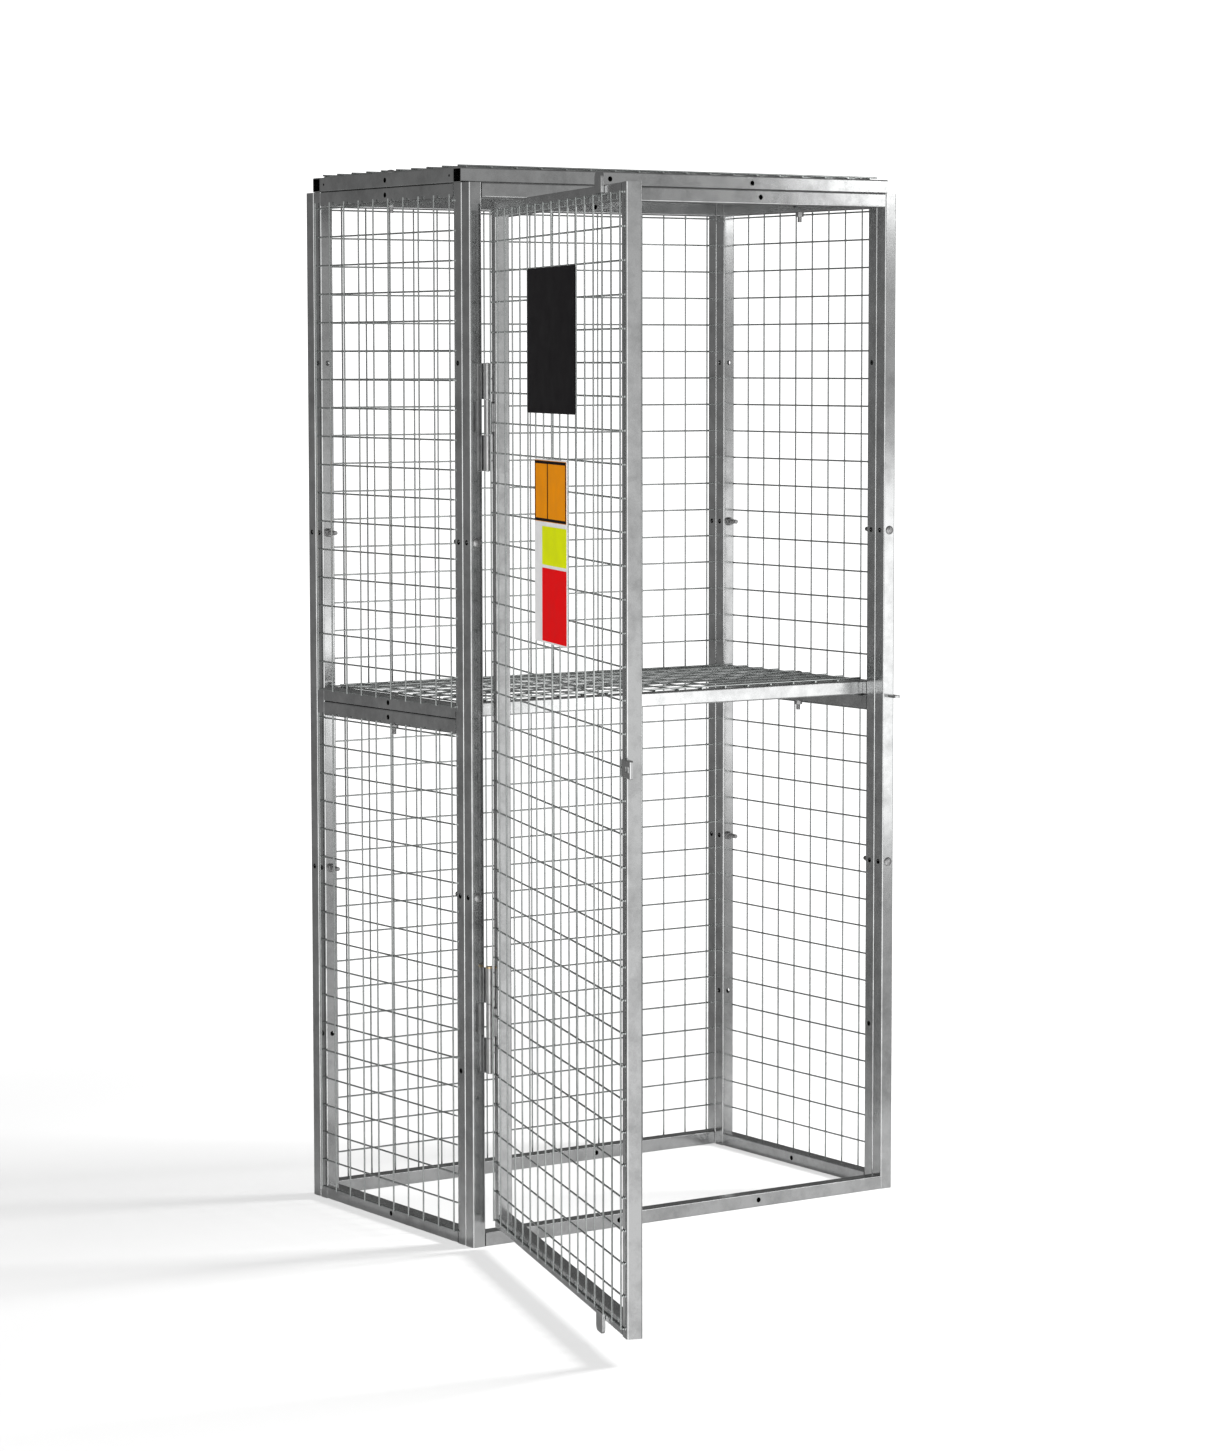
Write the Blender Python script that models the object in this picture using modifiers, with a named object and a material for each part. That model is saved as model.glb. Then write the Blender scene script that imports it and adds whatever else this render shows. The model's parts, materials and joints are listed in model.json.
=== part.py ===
# Gas cylinder cage: galvanised square tube and welded wire mesh, with a hinged door,
# a mesh shelf at half height and a mesh roof. Metres, +Z up, front face towards -Y.
# The origin is on the ground under the middle of the front bottom rail.

import math

import bmesh
import bpy
from mathutils import Matrix, Vector

# Square tube
tube = 0.025
tube_wall = 0.0015
tube_corner = 0.0022
bolt_hole = 0.009
fit_gap = 0.0003

# Cage
cage_width = 0.900
cage_depth = 0.545
post_height = 1.800
middle_rail_top = 0.900
shelf_setback = 0.010

# Welded mesh: wires on a 50 mm pitch, of which every second one is modelled
wire_radius = 0.0016
wire_bite = 0.0006
wire_pitch = 0.050
wire_step = 2
mesh_overlap = 0.005
side_first_wire = 0.0107
lower_first_wire = 0.051
upper_first_wire = 0.051
back_first_wire = 0.035
deck_first_wire = 0.048
roof_first_wire = 0.030
shelf_first_wire = 0.030
door_first_wire = 0.0409
door_first_row = 0.0433

# Door
door_hinge_gap = 0.0085
door_lock_gap = 0.0135
door_top_gap = 0.0095
door_bottom_gap = 0.0125
door_proud = 0.0055
door_open_angle = math.radians(108.5)

# Hinges
hinge_length = 0.180
hinge_height = 0.510
leaf_thickness = 0.0022
leaf_width = 0.018
leaf_notch_clearance = 0.0005
knuckle_radius = 0.0055
knuckle_play = 0.001
pin_radius = 0.0025
pin_clearance = 0.0006
pin_end = 0.001

# Stop tongues on the door, which stand past its top and bottom rails
tongue_width = 0.037
tongue_length = 0.032
tongue_thickness = 0.005
tongue_reach = 0.020
tongue_inset = 0.138
tongue_corner = 0.009

# Lock: a staple on the frame that passes through the slot of a shallow tray on the door
lock_height = 0.9015
staple_width = 0.012
staple_height = 0.005
staple_reach = 0.028
staple_eye = 0.007
hasp_wall = 0.002
hasp_height = 0.028
hasp_depth = 0.0057
hasp_lap = 0.0075
hasp_reach = 0.0375
slot_width = 0.020
slot_height = 0.009

# Worked out from the sizes above
left_x = -cage_width / 2
right_x = cage_width / 2
front_y = -tube / 2
back_y = front_y + cage_depth
side_front_y = front_y + tube
side_back_y = back_y - tube
wire_layer = 2 * wire_radius - wire_bite
hinge_x = left_x + tube + fit_gap + leaf_thickness
door_left_x = left_x + tube + door_hinge_gap
door_right_x = right_x - tube - door_lock_gap
door_bottom_z = tube + door_bottom_gap
door_top_z = post_height - tube - door_top_gap
door_front_y = front_y - door_proud
hinge_y = door_front_y - fit_gap - knuckle_radius
leaf_notch_y = hinge_y + knuckle_radius + leaf_notch_clearance
third_places = [left_x + cage_width * share for share in (1 / 3, 2 / 3)]
bolt_heights = [post_height * share for share in (1 / 3, 2 / 3)]
spare_heights = [post_height * share for share in (1 / 6, 5 / 6)]


def clear_scene():
    for item in list(bpy.data.objects):
        bpy.data.objects.remove(item, do_unlink=True)
    for group in list(bpy.data.collections):
        bpy.data.collections.remove(group)


def make_collection(name):
    group = bpy.data.collections.new(name)
    bpy.context.scene.collection.children.link(group)
    return group


def steel(name, shade, roughness):
    material = bpy.data.materials.new(name)
    material.use_nodes = True
    surface = material.node_tree.nodes["Principled BSDF"]
    surface.inputs["Base Color"].default_value = (shade, shade, shade * 1.02, 1)
    surface.inputs["Metallic"].default_value = 0.9
    surface.inputs["Roughness"].default_value = roughness
    return material


def add_object(name, mesh, parent=None, group=None):
    item = bpy.data.objects.new(name, mesh)
    (group or cage_parts).objects.link(item)
    item.parent = parent
    return item


def mesh_from(form, name):
    mesh = bpy.data.meshes.new(name)
    form.normal_update()
    form.to_mesh(mesh)
    form.free()
    return mesh


def local(point, parent):
    # Door pieces are placed where they are with the door shut, seen from the hinge axis.
    return Vector(point) - (door_axis if parent else Vector((0, 0, 0)))


def box_form(low, high):
    form = bmesh.new()
    bmesh.ops.create_cube(form, size=1)
    size = Vector(high) - Vector(low)
    centre = (Vector(high) + Vector(low)) / 2
    place = Matrix.Translation(centre) @ Matrix.Diagonal((*size, 1))
    bmesh.ops.transform(form, matrix=place, verts=form.verts)
    return form


def rod_form(start, end, radius, sides):
    form = bmesh.new()
    bmesh.ops.create_cone(
        form, cap_ends=True, cap_tris=False, segments=sides, radius1=radius, radius2=radius, depth=1)
    span = Vector(end) - Vector(start)
    heading = span.to_track_quat("Z", "Y").to_matrix().to_4x4()
    place = Matrix.Translation((Vector(start) + Vector(end)) / 2) @ heading
    stretch = Matrix.Diagonal((1, 1, span.length, 1))
    bmesh.ops.transform(form, matrix=place @ stretch, verts=form.verts)
    return form


def join_forms(forms):
    joined = bmesh.new()
    for form in forms:
        mesh = mesh_from(form, "piece")
        joined.from_mesh(mesh)
        bpy.data.meshes.remove(mesh)
    return joined


def boolean(item, operation, form, name, parent=None):
    cutter = add_object(name, mesh_from(form, name), parent, cutters)
    cutter.hide_render = True
    cutter.display_type = "WIRE"
    cut = item.modifiers.new(operation.title(), "BOOLEAN")
    cut.operation = operation
    cut.solver = "EXACT"
    cut.object = cutter


def drill(item, holes, parent=None):
    # Each hole is (point on its axis, axis letter) and goes through both walls of a tube.
    if not holes:
        return
    drills = []
    for point, axis in holes:
        reach = Vector([tube if letter == axis else 0 for letter in "xyz"])
        middle = local(point, parent)
        drills.append(rod_form(middle - reach, middle + reach, bolt_hole / 2, 6))
    boolean(item, "DIFFERENCE", join_forms(drills), item.name + "_holes", parent)


def square_tube(name, low, high, along, holes=(), parent=None, material=None):
    # An open-ended tube: the walls of a box with its long edges rounded, thickened inwards.
    form = box_form(local(low, parent), local(high, parent))
    axis = "xyz".index(along)
    ends = [face for face in form.faces if abs(face.normal[axis]) > 0.9]
    bmesh.ops.delete(form, geom=ends, context="FACES_ONLY")
    long_edges = [edge for edge in form.edges if abs((edge.verts[0].co - edge.verts[1].co)[axis]) > tube]
    bmesh.ops.bevel(
        form, geom=long_edges, affect="EDGES", offset=tube_corner, segments=1, profile=0.5, material=-1)
    item = add_object(name, mesh_from(form, name), parent)
    walls = item.modifiers.new("Walls", "SOLIDIFY")
    walls.thickness = tube_wall
    walls.offset = -1
    walls.use_even_offset = True
    drill(item, holes, parent)
    item.data.materials.append(material or galvanised)
    return item


def wire_places(low, high, first):
    # Wires stand at a whole number of steps from the first one, inside low and high.
    spacing = wire_pitch * wire_step
    count = math.floor((high - low - first) / spacing + 1e-6) + 1
    return [low + first + spacing * index for index in range(count)]


def wire_mesh(name, normal, face, outline, first, parent=None, first_on_top=False):
    # normal is the outward axis with its sign, face the tube face it lies on, and outline
    # the sheet's low and high corners along the two other axes. The wires along the second
    # of these lie on the outside, unless first_on_top.
    axis = "xyz".index(normal[1])
    sign = -1 if normal[0] == "-" else 1
    first_axis, second_axis = [index for index in range(3) if index != axis]
    (first_low, first_high), (second_low, second_high) = outline
    depths = [face + sign * (fit_gap + wire_radius + layer) for layer in (0, wire_layer)]
    second_depth, first_depth = depths if first_on_top else reversed(depths)

    def spot(depth, first_place, second_place):
        point = [0, 0, 0]
        point[axis] = depth
        point[first_axis] = first_place
        point[second_axis] = second_place
        return local(point, parent)

    first_wires = []
    for place in wire_places(second_low, second_high, first[1]):
        start = spot(first_depth, first_low, place)
        first_wires.append(rod_form(start, spot(first_depth, first_high, place), wire_radius, 4))
    second_wires = []
    for place in wire_places(first_low, first_high, first[0]):
        start = spot(second_depth, place, second_low)
        second_wires.append(rod_form(start, spot(second_depth, place, second_high), wire_radius, 4))
    item = add_object(name, mesh_from(join_forms(second_wires), name), parent)
    boolean(item, "UNION", join_forms(first_wires), name + "_cross_wires", parent)
    item.data.materials.append(wire_steel)
    return item


def round_end(form, along, towards, radius):
    # Rounds the two corner edges that run along one axis at the far end of a plate.
    heading = Vector(towards)
    axis = "xyz".index(along)
    reach = max(vert.co @ heading for vert in form.verts)
    corners = [
        edge for edge in form.edges
        if all(reach - vert.co @ heading < 1e-6 for vert in edge.verts)
        and abs((edge.verts[0].co - edge.verts[1].co).normalized()[axis]) > 0.9]
    bmesh.ops.bevel(
        form, geom=corners, affect="EDGES", offset=radius, segments=4, profile=0.5, material=-1)
    return form


def front_frame():
    top = post_height - tube
    for side, x in (("left", left_x), ("right", right_x - tube)):
        holes = [((x + tube / 2, 0, height), "x") for height in bolt_heights]
        square_tube(
            f"front_{side}_post", (x, front_y, 0), (x + tube, front_y + tube, post_height), "z", holes)
    for level, z in (("bottom", 0), ("top", top)):
        holes = [((x, 0, z + tube / 2), "y") for x in third_places]
        low = (left_x + tube + fit_gap, front_y, z)
        square_tube(f"front_{level}_rail", low, (-low[0], front_y + tube, z + tube), "x", holes)


def side_panel(side, x, normal):
    low_y = side_front_y + fit_gap
    high_y = side_back_y - fit_gap
    middle_y = (low_y + high_y) / 2
    for end, y in (("front", low_y), ("rear", high_y - tube)):
        holes = [((x + tube / 2, y + tube / 2, height), "x") for height in bolt_heights + spare_heights]
        if end == "rear":
            holes += [((x + tube / 2, y + tube / 2, height), "y") for height in spare_heights]
        square_tube(f"{side}_{end}_upright", (x, y, 0), (x + tube, y + tube, post_height), "z", holes)
    rail_low = low_y + tube + fit_gap
    rail_high = high_y - tube - fit_gap
    for level, z in (("bottom", 0), ("middle", middle_rail_top - tube), ("top", post_height - tube)):
        holes = [((x + tube / 2, middle_y, z + tube / 2), "x")]
        square_tube(
            f"{side}_{level}_rail", (x, rail_low, z), (x + tube, rail_high, z + tube), "y", holes)
    face = left_x if normal == "-x" else right_x
    span = (side_front_y + tube - mesh_overlap, side_back_y - tube + mesh_overlap)
    lower = (tube - mesh_overlap, middle_rail_top - tube + mesh_overlap)
    upper = (middle_rail_top + tube - mesh_overlap, post_height - tube + mesh_overlap)
    wire_mesh(f"{side}_lower_mesh", normal, face, (span, lower), (side_first_wire, lower_first_wire))
    wire_mesh(f"{side}_upper_mesh", normal, face, (span, upper), (side_first_wire, upper_first_wire))


def back_panel():
    for side, x in (("left", left_x), ("right", right_x - tube)):
        holes = [((x + tube / 2, back_y - tube / 2, height), "x") for height in bolt_heights]
        square_tube(f"back_{side}_post", (x, side_back_y, 0), (x + tube, back_y, post_height), "z", holes)
    for level, z in (("bottom", 0), ("top", post_height - tube)):
        holes = [((x, back_y - tube / 2, z + tube / 2), "y") for x in third_places]
        low = (left_x + tube + fit_gap, side_back_y, z)
        square_tube(f"back_{level}_rail", low, (-low[0], back_y, z + tube), "x", holes)
    edge = left_x + tube - mesh_overlap
    height = (tube - mesh_overlap, post_height - tube + mesh_overlap)
    wire_mesh("back_mesh", "+y", back_y, ((edge, -edge), height), (back_first_wire, lower_first_wire))


def roof_panel():
    z = post_height + fit_gap
    low_y = side_front_y + fit_gap
    high_y = side_back_y - fit_gap
    for end, y in (("front", low_y), ("rear", high_y - tube)):
        holes = [((x, y + tube / 2, z + tube / 2), "y") for x in third_places]
        square_tube(f"roof_{end}_tube", (left_x, y, z), (right_x, y + tube, z + tube), "x", holes)
    rail_low = low_y + tube + fit_gap
    rail_high = high_y - tube - fit_gap
    for side, x in (("left", left_x), ("right", right_x - tube)):
        holes = [((x + tube / 2, (low_y + high_y) / 2, z + tube / 2), axis) for axis in "xz"]
        square_tube(f"roof_{side}_tube", (x, rail_low, z), (x + tube, rail_high, z + tube), "y", holes)
    edge = left_x + tube - mesh_overlap
    span = (rail_low - mesh_overlap, rail_high + mesh_overlap)
    first = (deck_first_wire, roof_first_wire)
    wire_mesh("roof_mesh", "+z", z + tube, ((edge, -edge), span), first, first_on_top=True)


def shelf():
    z = middle_rail_top + fit_gap
    low_y = side_front_y + tube + 2 * fit_gap
    high_y = side_back_y - tube - 2 * fit_gap
    for side, x in (("left", left_x), ("right", right_x - tube)):
        holes = [((x + tube / 2, (low_y + high_y) / 2, z + tube / 2), axis) for axis in "xz"]
        square_tube(f"shelf_{side}_tube", (x, low_y, z), (x + tube, high_y, z + tube), "y", holes)
    edge = left_x + tube + fit_gap
    front = low_y + shelf_setback
    rear = high_y - shelf_setback
    for end, y in (("front", front), ("rear", rear - tube)):
        square_tube(f"shelf_{end}_tube", (edge, y, z), (-edge, y + tube, z + tube), "x")
    edge = left_x + tube - mesh_overlap
    span = (front + tube - mesh_overlap, rear - tube + mesh_overlap)
    first = (deck_first_wire, shelf_first_wire)
    wire_mesh("shelf_mesh", "+z", z + tube, ((edge, -edge), span), first, first_on_top=True)


def hinge(name, height):
    # The post's leaf lies in the gap beside the post and carries the outer knuckles and the
    # pin. The door's leaf lies on the stile's outer face and carries the middle knuckle.
    low = height - hinge_length / 2
    knuckle = hinge_length / 3
    half = knuckle / 2
    leaf_x = left_x + tube + fit_gap
    post_leaf = add_object(f"{name}_hinge_post_leaf", mesh_from(box_form(
        (leaf_x, hinge_y, low), (leaf_x + leaf_thickness, front_y + leaf_width, low + hinge_length)), name))
    notch = box_form(
        (leaf_x - tube, hinge_y - tube, height - half), (hinge_x + tube, leaf_notch_y, height + half))
    boolean(post_leaf, "DIFFERENCE", notch, f"{name}_hinge_notch")
    ends = [
        rod_form((hinge_x, hinge_y, base), (hinge_x, hinge_y, base + knuckle), knuckle_radius, 16)
        for base in (low, low + 2 * knuckle)]
    boolean(post_leaf, "UNION", join_forms(ends), f"{name}_hinge_outer_knuckles")
    pin_low = (hinge_x, hinge_y, low - pin_end)
    pin_high = (hinge_x, hinge_y, low + hinge_length + pin_end)
    pin = rod_form(pin_low, pin_high, pin_radius, 12)
    boolean(post_leaf, "UNION", pin, f"{name}_hinge_pin")
    post_leaf.data.materials.append(hinge_steel)

    base = height - half + knuckle_play
    crown = height + half - knuckle_play
    door_leaf = add_object(f"{name}_hinge_door_leaf", mesh_from(box_form(
        local((hinge_x, door_front_y - fit_gap - leaf_thickness, base), True),
        local((hinge_x + leaf_width, door_front_y - fit_gap, crown), True)), name), door_pivot)
    centre = local((hinge_x, hinge_y, 0), True)
    rise = Vector((0, 0, 1))
    barrel = rod_form(centre + rise * base, centre + rise * crown, knuckle_radius, 16)
    boolean(door_leaf, "UNION", barrel, f"{name}_hinge_middle_knuckle", door_pivot)
    bore = rod_form(
        centre + rise * (base - tube), centre + rise * (crown + tube), pin_radius + pin_clearance, 12)
    boolean(door_leaf, "DIFFERENCE", bore, f"{name}_hinge_bore", door_pivot)
    door_leaf.data.materials.append(hinge_steel)


def door():
    for name, x in (("hinge", door_left_x), ("lock", door_right_x - tube)):
        square_tube(
            f"door_{name}_stile", (x, door_front_y, door_bottom_z),
            (x + tube, door_front_y + tube, door_top_z), "z", parent=door_pivot)
    rail_low = door_left_x + tube + fit_gap
    rail_high = door_right_x - tube - fit_gap
    for level, z in (("bottom", door_bottom_z), ("top", door_top_z - tube)):
        square_tube(
            f"door_{level}_rail", (rail_low, door_front_y, z),
            (rail_high, door_front_y + tube, z + tube), "x", parent=door_pivot)
    span = (door_left_x + tube - mesh_overlap, door_right_x - tube + mesh_overlap)
    height = (door_bottom_z + tube - mesh_overlap, door_top_z - tube + mesh_overlap)
    wire_mesh(
        "door_mesh", "-y", door_front_y, (span, height), (door_first_wire, door_first_row), door_pivot)


def stop_tongue(name, inner_z, outer_z):
    # A flat bar on the face of a door rail whose round end stands past the door's edge.
    x = door_right_x - tongue_inset
    low = (x - tongue_width / 2, door_front_y - fit_gap - tongue_thickness, min(inner_z, outer_z))
    high = (x + tongue_width / 2, door_front_y - fit_gap, max(inner_z, outer_z))
    form = box_form(local(low, True), local(high, True))
    round_end(form, "y", (0, 0, 1 if outer_z > inner_z else -1), tongue_corner)
    item = add_object(name, mesh_from(form, name), door_pivot)
    item.data.materials.append(galvanised)


def lock():
    x = right_x - tube / 2
    form = box_form(
        (x - staple_width / 2, front_y - fit_gap - staple_reach, lock_height - staple_height / 2),
        (x + staple_width / 2, front_y - fit_gap, lock_height + staple_height / 2))
    round_end(form, "z", (0, -1, 0), staple_width * 0.45)
    staple = add_object("lock_staple", mesh_from(form, "lock_staple"))
    eye_y = front_y - fit_gap - staple_reach + staple_width / 2
    eye = rod_form((x, eye_y, lock_height - tube), (x, eye_y, lock_height + tube), staple_eye / 2, 12)
    boolean(staple, "DIFFERENCE", eye, "staple_eye")
    staple.data.materials.append(galvanised)

    back = door_front_y - fit_gap
    low = local((door_right_x - hasp_lap, back - hasp_depth, lock_height - hasp_height / 2), True)
    high = local((door_right_x + hasp_reach, back, lock_height + hasp_height / 2), True)
    hasp = add_object("lock_hasp", mesh_from(box_form(low, high), "lock_hasp"), door_pivot)
    wall = Vector((hasp_wall, hasp_wall, hasp_wall))
    hollow = box_form(low + wall, high - wall + Vector((0, tube, 0)))
    boolean(hasp, "DIFFERENCE", hollow, "hasp_hollow", door_pivot)
    half = Vector((slot_width / 2, tube, slot_height / 2))
    centre = local((x, door_front_y, lock_height), True)
    boolean(hasp, "DIFFERENCE", box_form(centre - half, centre + half), "hasp_slot", door_pivot)
    hasp.data.materials.append(galvanised)


clear_scene()
cage_parts = make_collection("gas_cylinder_cage")
cutters = make_collection("cutters")
galvanised = steel("galvanised_steel", 0.42, 0.45)
wire_steel = steel("mesh_wire", 0.48, 0.4)
hinge_steel = steel("hinge_steel", 0.38, 0.45)

door_axis = Vector((hinge_x, hinge_y, 0))
door_pivot = bpy.data.objects.new("door_pivot", None)
cage_parts.objects.link(door_pivot)
door_pivot.location = door_axis
door_pivot.rotation_euler.z = -door_open_angle

front_frame()
side_panel("left", left_x, "-x")
side_panel("right", right_x - tube, "+x")
back_panel()
roof_panel()
shelf()
door()
hinge("lower", middle_rail_top - hinge_height)
hinge("upper", middle_rail_top + hinge_height)
stop_tongue("top_stop_tongue", door_top_z + tongue_reach - tongue_length, door_top_z + tongue_reach)
stop_tongue("bottom_stop_tongue", door_bottom_z - tongue_reach + tongue_length, door_bottom_z - tongue_reach)
lock()
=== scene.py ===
import json
import math

import bmesh
import bpy
from mathutils import Matrix, Vector


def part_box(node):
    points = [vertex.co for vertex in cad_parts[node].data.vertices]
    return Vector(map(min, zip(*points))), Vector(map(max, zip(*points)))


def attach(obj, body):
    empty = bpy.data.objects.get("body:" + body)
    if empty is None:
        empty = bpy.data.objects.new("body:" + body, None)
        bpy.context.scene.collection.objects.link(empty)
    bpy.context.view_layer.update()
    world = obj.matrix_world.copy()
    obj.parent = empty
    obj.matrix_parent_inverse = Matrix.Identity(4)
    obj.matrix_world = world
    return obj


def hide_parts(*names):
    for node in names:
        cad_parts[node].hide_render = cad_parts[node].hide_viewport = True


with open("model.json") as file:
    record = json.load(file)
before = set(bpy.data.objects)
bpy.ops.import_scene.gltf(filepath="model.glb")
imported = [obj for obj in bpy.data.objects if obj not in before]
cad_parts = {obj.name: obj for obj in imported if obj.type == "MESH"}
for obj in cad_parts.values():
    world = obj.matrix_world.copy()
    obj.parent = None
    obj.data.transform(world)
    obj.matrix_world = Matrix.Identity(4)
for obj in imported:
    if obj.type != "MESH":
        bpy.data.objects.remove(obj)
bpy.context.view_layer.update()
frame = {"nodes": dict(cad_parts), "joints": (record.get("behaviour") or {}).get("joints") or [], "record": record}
print("frame loaded:", len(frame["nodes"]), "nodes")

# The door is drawn as if shut, then turned to where it stands open.
door = {
    "openAngle": 108.5,
    "axis": Vector(frame["joints"][0]["pos_m"]),
}
toOpen = (
    Matrix.Translation(door["axis"])
    @ Matrix.Rotation(math.radians(-door["openAngle"]), 4, "Z")
    @ Matrix.Translation(-door["axis"])
)
toShut = toOpen.inverted()


def nodeBox(node):
    # The corners of a CAD node, and for the door's nodes those it has with the door shut.
    if node not in frame["record"]["behaviour"]["bodies"]["door"]:
        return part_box(node)
    points = [toShut @ vert.co for vert in frame["nodes"][node].data.vertices]
    low = Vector([min(point[axis] for point in points) for axis in range(3)])
    high = Vector([max(point[axis] for point in points) for axis in range(3)])
    return low, high


def newMaterial(name):
    material = bpy.data.materials.new(name)
    material.use_nodes = True
    tree = material.node_tree
    return material, tree, tree.nodes["Principled BSDF"]


def addNode(tree, kind, settings=(), **inputs):
    node = tree.nodes.new(kind)
    for key, value in dict(settings).items():
        setattr(node, key, value)
    for key, value in inputs.items():
        socket = node.inputs[key.replace("_", " ")]
        if isinstance(value, bpy.types.NodeSocket):
            tree.links.new(value, socket)
        else:
            socket.default_value = value
    return node


def ramp(tree, factor, stops):
    node = addNode(tree, "ShaderNodeValToRGB", Fac=factor)
    line = node.color_ramp
    while len(line.elements) < len(stops):
        line.elements.new(0.5)
    for element, (place, shade) in zip(line.elements, stops):
        element.position = place
        element.color = (*shade, 1) if isinstance(shade, tuple) else (shade, shade, shade, 1)
    return node.outputs["Color"]


def addShare(tree, value, share, rest):
    # value times share, plus rest.
    node = addNode(tree, "ShaderNodeMath", {"operation": "MULTIPLY_ADD"})
    tree.links.new(value, node.inputs[0])
    node.inputs[1].default_value = share
    tree.links.new(rest, node.inputs[2])
    return node.outputs[0]


zincNoise = {"cloud": (5.0, 0.62), "grain": (3.0, 0.55), "drift": (3.0, 0.5), "bumpDepth": 0.0004}


def zincMaterial(name, look):
    # Galvanised steel: a cloudy grey coat with fine grain, faint crystals and a slow drift in tone.
    material, tree, surface = newMaterial(name)
    place = addNode(tree, "ShaderNodeTexCoord").outputs["Object"]
    noise = {}
    for kind in ("cloud", "grain", "drift"):
        detail, roughness = zincNoise[kind]
        noise[kind] = addNode(
            tree, "ShaderNodeTexNoise", Vector=place, Scale=look[f"{kind}Scale"], Detail=detail,
            Roughness=roughness).outputs["Fac"]
    crystal = addNode(
        tree, "ShaderNodeTexVoronoi", {"feature": "F1"}, Vector=place, Scale=look["crystalScale"])
    mixed = addShare(tree, crystal.outputs["Color"], look["crystalShare"], noise["cloud"])
    fine = addShare(tree, noise["grain"], look["grainShare"], mixed)
    whole = addShare(tree, noise["drift"], look["driftShare"], fine)
    shade, spread = look["shade"], look["spread"]
    low, high = look["range"]
    coat = ramp(tree, whole, [
        (low, tuple(shade * (1 - spread) * tint for tint in look["tint"])),
        (high, tuple(shade * (1 + spread) * tint for tint in look["tint"]))])
    tree.links.new(coat, surface.inputs["Base Color"])
    rough = addNode(tree, "ShaderNodeMapRange", Value=whole)
    rough.inputs["From Min"].default_value = low
    rough.inputs["From Max"].default_value = high
    rough.inputs["To Min"].default_value = look["roughness"] + look["roughSpread"]
    rough.inputs["To Max"].default_value = look["roughness"] - look["roughSpread"]
    tree.links.new(rough.outputs["Result"], surface.inputs["Roughness"])
    surface.inputs["Metallic"].default_value = look["metallic"]
    bump = addNode(
        tree, "ShaderNodeBump", Strength=look["bump"], Distance=zincNoise["bumpDepth"], Height=fine)
    tree.links.new(bump.outputs["Normal"], surface.inputs["Normal"])
    return material


tubeLook = {
    "shade": 0.38, "spread": 0.20, "tint": (0.99, 1.0, 1.0), "range": (0.58, 1.20),
    "cloudScale": 26.0, "grainScale": 460.0, "grainShare": 0.16, "crystalScale": 120.0, "crystalShare": 0.10,
    "driftScale": 5.5, "driftShare": 0.50,
    "roughness": 0.19, "roughSpread": 0.02, "metallic": 1.0, "bump": 0.015,
}
wireLook = {
    "shade": 0.40, "spread": 0.14, "tint": (0.96, 1.0, 0.985), "range": (0.35, 0.85),
    "cloudScale": 60.0, "grainScale": 700.0, "grainShare": 0.20, "crystalScale": 220.0, "crystalShare": 0.06,
    "driftScale": 8.0, "driftShare": 0.0,
    "roughness": 0.24, "roughSpread": 0.05, "metallic": 1.0, "bump": 0.04,
}
hingeLook = {
    "shade": 0.36, "spread": 0.14, "tint": (1.0, 1.0, 1.0), "range": (0.35, 0.85),
    "cloudScale": 90.0, "grainScale": 900.0, "grainShare": 0.16, "crystalScale": 260.0, "crystalShare": 0.05,
    "driftScale": 8.0, "driftShare": 0.0,
    "roughness": 0.32, "roughSpread": 0.05, "metallic": 1.0, "bump": 0.06,
}
washerLook = dict(hingeLook, shade=0.50, tint=(1.0, 0.78, 0.46), roughness=0.30)
boltLook = dict(hingeLook, shade=0.34, roughness=0.46)
lockLook = dict(tubeLook, cloudScale=70.0)
tubeZinc = zincMaterial("tubeZinc", tubeLook)
wireZinc = zincMaterial("wireZinc", wireLook)
hingeZinc = zincMaterial("hingeZinc", hingeLook)
washerBrass = zincMaterial("washerBrass", washerLook)
boltZinc = zincMaterial("boltZinc", boltLook)
lockZinc = zincMaterial("lockZinc", lockLook)


plateLook = {
    "hazeScale": 28.0, "hazeDetail": 4.0, "hazeRoughness": 0.6, "hazeRange": (0.3, 0.7),
    "darkest": 0.93, "lightest": 1.05, "glossier": 0.08, "rougher": 0.1, "specular": 0.02,
}


def plateMaterial(name, colour, roughness):
    # Printed plastic sheet: one plain colour with a faint haze of handling in its gloss.
    material, tree, surface = newMaterial(name)
    place = addNode(tree, "ShaderNodeTexCoord").outputs["Object"]
    haze = addNode(
        tree, "ShaderNodeTexNoise", Vector=place, Scale=plateLook["hazeScale"],
        Detail=plateLook["hazeDetail"], Roughness=plateLook["hazeRoughness"])
    low, high = plateLook["hazeRange"]
    tone = ramp(tree, haze.outputs["Fac"], [
        (low, tuple(part * plateLook["darkest"] for part in colour)),
        (high, tuple(min(1, part * plateLook["lightest"]) for part in colour))])
    tree.links.new(tone, surface.inputs["Base Color"])
    gloss = addNode(tree, "ShaderNodeMapRange", Value=haze.outputs["Fac"])
    gloss.inputs["To Min"].default_value = roughness - plateLook["glossier"]
    gloss.inputs["To Max"].default_value = roughness + plateLook["rougher"]
    tree.links.new(gloss.outputs["Result"], surface.inputs["Roughness"])
    surface.inputs["Specular IOR Level"].default_value = plateLook["specular"]
    return material


def boxMesh(low, high):
    form = bmesh.new()
    bmesh.ops.create_cube(form, size=1)
    low, high = Vector(low), Vector(high)
    place = Matrix.Translation((low + high) / 2) @ Matrix.Diagonal((*(high - low), 1))
    bmesh.ops.transform(form, matrix=place, verts=form.verts)
    return form


def bevel(form, edges, offset, steps):
    bmesh.ops.bevel(
        form, geom=edges, affect="EDGES", offset=offset, segments=steps, profile=0.5, material=-1)


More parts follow.
